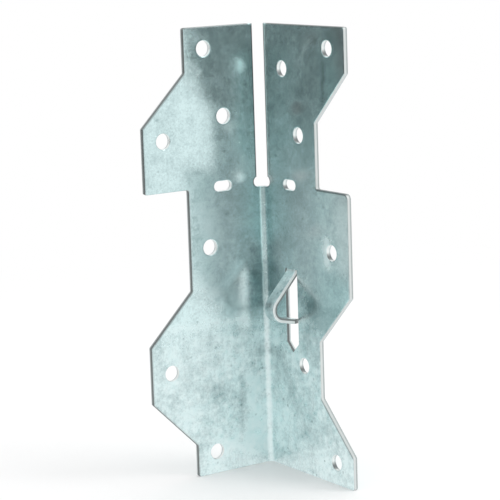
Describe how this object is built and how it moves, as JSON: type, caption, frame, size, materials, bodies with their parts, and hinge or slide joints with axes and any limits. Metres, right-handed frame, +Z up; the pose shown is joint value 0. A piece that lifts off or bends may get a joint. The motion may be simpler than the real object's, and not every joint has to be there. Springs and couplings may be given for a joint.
{
  "type": "framing angle",
  "caption": "Folded galvanised sheet angle with zigzag legs, nail holes, a bending slot down the fold and a looped driving prong, for nailing timber framing members together.",
  "frame": {"origin": "foot of the heel line, where the planes of the two outer faces and the bottom edge meet", "axes": "+Z up along the fold; the left leg runs along -X with its outer face looking to +Y, the right leg along -Y with its outer face looking to +X"},
  "size_m": [0.0372, 0.0365, 0.1143],
  "materials": {
    "galvanised_sheet": "hot-dip galvanised, mottled satin"
  },
  "bodies": {
    "root": {"framing_angle": "galvanised_sheet"}
  },
  "joints": []
}
